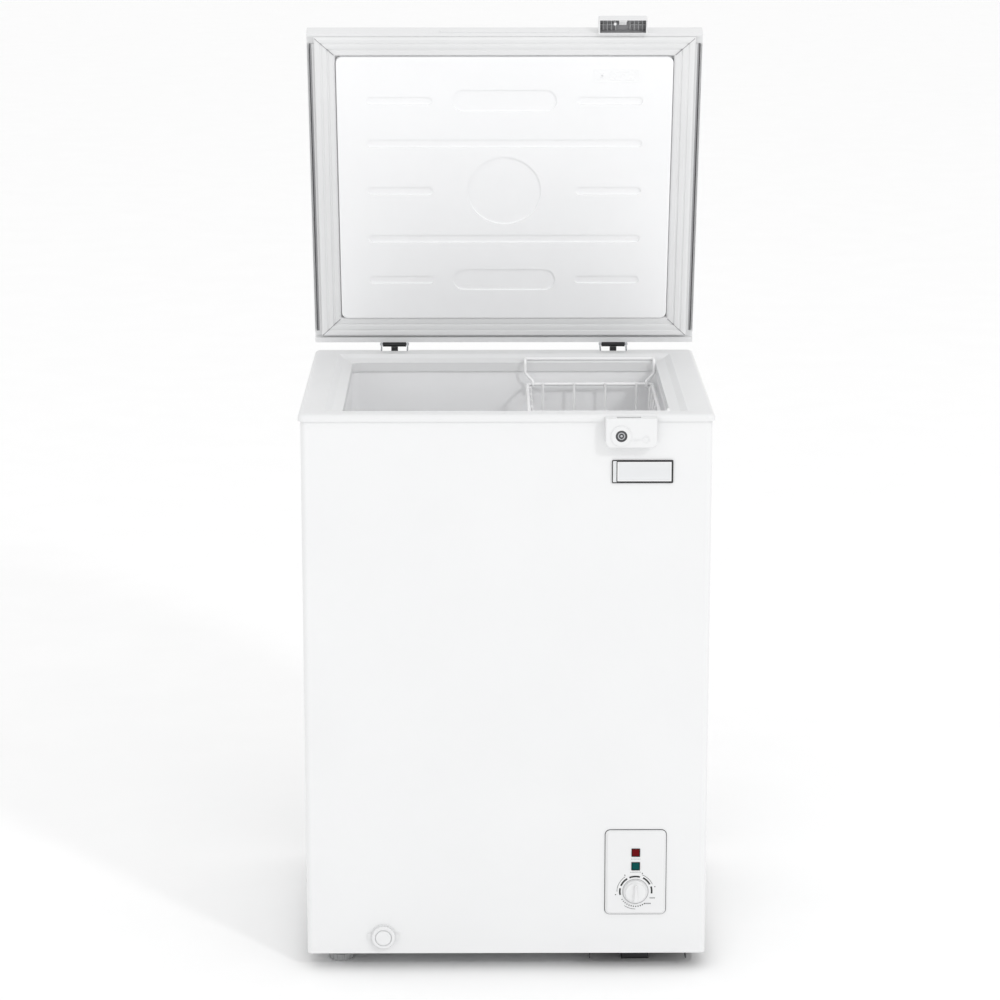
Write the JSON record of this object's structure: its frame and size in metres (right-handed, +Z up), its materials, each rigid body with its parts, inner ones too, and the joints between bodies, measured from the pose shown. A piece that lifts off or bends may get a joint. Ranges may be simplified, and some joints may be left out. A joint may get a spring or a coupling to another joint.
{
  "type": "chest freezer",
  "caption": "Small upright-format chest freezer with a hinged insulated lid held open, inner tank, wire basket, lid lock, thermostat panel and drain.",
  "frame": {"origin": "on the floor, under the centre of the whole object's box at rest, lid open", "axes": "+X to the user's right, +Y towards the back, +Z up"},
  "size_m": [0.5516, 0.5365, 1.2702],
  "materials": {
    "white_enamel": "gloss",
    "grey_steel": "satin",
    "white_plastic": "satin",
    "liner_plastic": "satin",
    "foam": "matte",
    "coil_metal": "satin",
    "coil_steel": "satin",
    "black_steel": "satin",
    "motor_iron": "matte",
    "black_rubber": "matte",
    "black_plastic": "matte",
    "copper": "satin",
    "zinc": "satin",
    "dark_steel": "satin",
    "red_lens": "gloss",
    "green_lens": "gloss",
    "grey_plastic": "matte",
    "badge_silver": "satin",
    "lock_metal": "satin",
    "grey_rubber": "matte",
    "gasket": "matte",
    "wire_coating": "gloss"
  },
  "bodies": {
    "cabinet": {"outer_shell": "white_enamel", "rear_panel": "grey_steel", "base_panel": "grey_steel", "bay_panel": "grey_steel", "bay_cover": "grey_steel", "collar_frame": "white_plastic", "inner_liner": "liner_plastic", "body_foam": "foam", "evaporator_coil": "coil_metal", "condenser_coil": "coil_steel", "compressor_shell": "black_steel", "compressor_motor": "motor_iron", "compressor_mounts": "black_rubber", "relay_box": "black_plastic", "filter_drier": "copper", "suction_line": "copper", "discharge_line": "copper", "compressor_tray": "black_steel", "tray_bolts": "zinc", "control_bezel": "white_plastic", "lamp_red": "red_lens", "lamp_green": "green_lens", "thermostat_body": "grey_plastic", "nameplate": "badge_silver", "lock_housing": "white_plastic", "drain_tube": "grey_plastic", "drain_bezel": "white_plastic", "foot_front_right": "black_plastic", "foot_rear_right": "black_plastic", "hinge_body_left": "zinc", "hinge_body_right": "zinc", "hinge_pins": "zinc", "hinge_plungers": "black_plastic", "hinge_screws": "zinc", "hinge_springs": "zinc", "mains_gland": "black_plastic"},
    "lid": {"hinge_leaf_left": "dark_steel", "hinge_leaf_right": "dark_steel", "lid_hinge_screws": "zinc", "lid_outer_panel": "white_enamel", "lid_front_trim": "white_plastic", "lid_rear_trim": "white_plastic", "lid_liner": "liner_plastic", "lid_gasket": "gasket", "lid_foam": "foam", "lid_catch": "white_plastic"},
    "lock": {"lock_cylinder": "lock_metal"},
    "knob": {"thermostat_knob": "white_plastic"},
    "drain_cap": {"drain_plug": "white_plastic"},
    "drain_stopper": {"inner_drain_plug": "grey_rubber"},
    "basket": {"basket_rim": "wire_coating", "basket_long_wires": "wire_coating", "basket_cross_wires": "wire_coating"},
    "bail_front": {"basket_handle_front": "wire_coating"},
    "bail_rear": {"basket_handle_rear": "wire_coating"},
    "foot_front": {"foot_front_left": "grey_plastic"},
    "foot_rear": {"foot_rear_left": "grey_plastic"}
  },
  "joints": [
    {"name": "lid_hinge", "type": "hinge", "parent": "cabinet", "child": "lid", "pos_m": [0, 0.23243, 0.7825], "axis": [-1, 0, 0], "range_deg": [-73, 12], "stiffness_Nm_per_rad": 4, "springref_deg": 17.19, "deforming": ["hinge_springs"]},
    {"name": "lock_turn", "type": "hinge", "parent": "cabinet", "child": "lock", "pos_m": [0.151, -0.27032, 0.7497], "axis": [0, -1, 0], "range_deg": [0, 90]},
    {"name": "thermostat_turn", "type": "hinge", "parent": "cabinet", "child": "knob", "pos_m": [0.176, -0.25532, 0.1127], "axis": [0, -1, 0], "range_deg": [-150, 150]},
    {"name": "drain_plug_pull", "type": "slide", "parent": "cabinet", "child": "drain_cap", "axis": [0, -1, 0], "range_m": [0, 0.025]},
    {"name": "inner_plug_lift", "type": "slide", "parent": "cabinet", "child": "drain_stopper", "axis": [0, 0, 1], "range_m": [0, 0.03]},
    {"name": "basket_lift", "type": "slide", "parent": "cabinet", "child": "basket", "axis": [0, 0, 1], "range_m": [0, 0.14]},
    {"name": "bail_front_swing", "type": "hinge", "parent": "basket", "child": "bail_front", "pos_m": [0.12325, -0.19207, 0.7375], "axis": [-1, 0, 0], "range_deg": [0, 70]},
    {"name": "bail_rear_swing", "type": "hinge", "parent": "basket", "child": "bail_rear", "pos_m": [0.12325, 0.15393, 0.7375], "axis": [1, 0, 0], "range_deg": [0, 70]},
    {"name": "foot_front_turn", "type": "hinge", "parent": "cabinet", "child": "foot_front", "pos_m": [-0.228, -0.20582, 0.01], "axis": [0, 0, 1], "range_deg": [-180, 180]},
    {"name": "foot_rear_turn", "type": "hinge", "parent": "cabinet", "child": "foot_rear", "pos_m": [-0.228, 0.18018, 0.01], "axis": [0, 0, 1], "range_deg": [-180, 180]}
  ]
}
